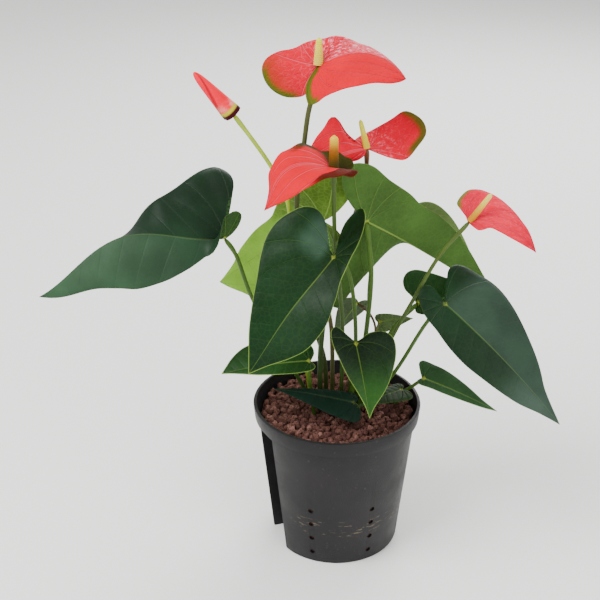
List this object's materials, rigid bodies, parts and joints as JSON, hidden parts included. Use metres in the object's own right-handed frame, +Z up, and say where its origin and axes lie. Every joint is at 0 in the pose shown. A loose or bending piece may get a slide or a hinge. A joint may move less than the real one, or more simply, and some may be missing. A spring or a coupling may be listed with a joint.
{
  "type": "potted anthurium",
  "caption": "Red-flowered anthurium house plant rooted in lava granules in a dark plastic culture pot",
  "frame": {"origin": "centre of the flat underside of the pot", "axes": "+Z up through the pot; -Y is the front, the side the picture shows; +X is the picture's right"},
  "size_m": [0.3793, 0.1821, 0.4004],
  "materials": {
    "pot": "satin charcoal",
    "granules": "rough red-brown lava",
    "leaf": "glossy living leaf",
    "young_leaf": "pale young leaf",
    "stem": "smooth green stem",
    "spathe": "waxy coral red",
    "spadix": "matte florets"
  },
  "bodies": {
    "root": {"leaf_left": "leaf", "petiole_left": "stem", "leaf_front": "leaf", "petiole_front": "stem", "leaf_back_left": "leaf", "petiole_back_left": "stem", "leaf_back_right": "leaf", "petiole_back_right": "stem", "leaf_folded_young": "young_leaf", "petiole_folded_young": "stem", "leaf_right": "leaf", "petiole_right": "stem", "leaf_right_inner": "leaf", "petiole_right_inner": "stem", "leaf_low_right": "leaf", "petiole_low_right": "stem", "leaf_small_front": "leaf", "petiole_small_front": "stem", "leaf_low_left": "leaf", "petiole_low_left": "stem", "leaf_over_granules": "leaf", "petiole_over_granules": "stem", "leaf_granules_right": "leaf", "petiole_granules_right": "stem", "leaf_pale_centre": "young_leaf", "petiole_pale_centre": "stem", "leaf_pale_right": "young_leaf", "petiole_pale_right": "stem", "spathe_top": "spathe", "spadix_top": "spadix", "peduncle_top": "stem", "spathe_front": "spathe", "spadix_front": "spadix", "peduncle_front": "stem", "spathe_middle": "spathe", "spadix_middle": "spadix", "peduncle_middle": "stem", "spathe_right": "spathe", "spadix_right": "spadix", "peduncle_right": "stem", "spathe_bud": "spathe", "peduncle_bud": "stem", "pot": "pot", "granules": "granules"}
  },
  "joints": []
}
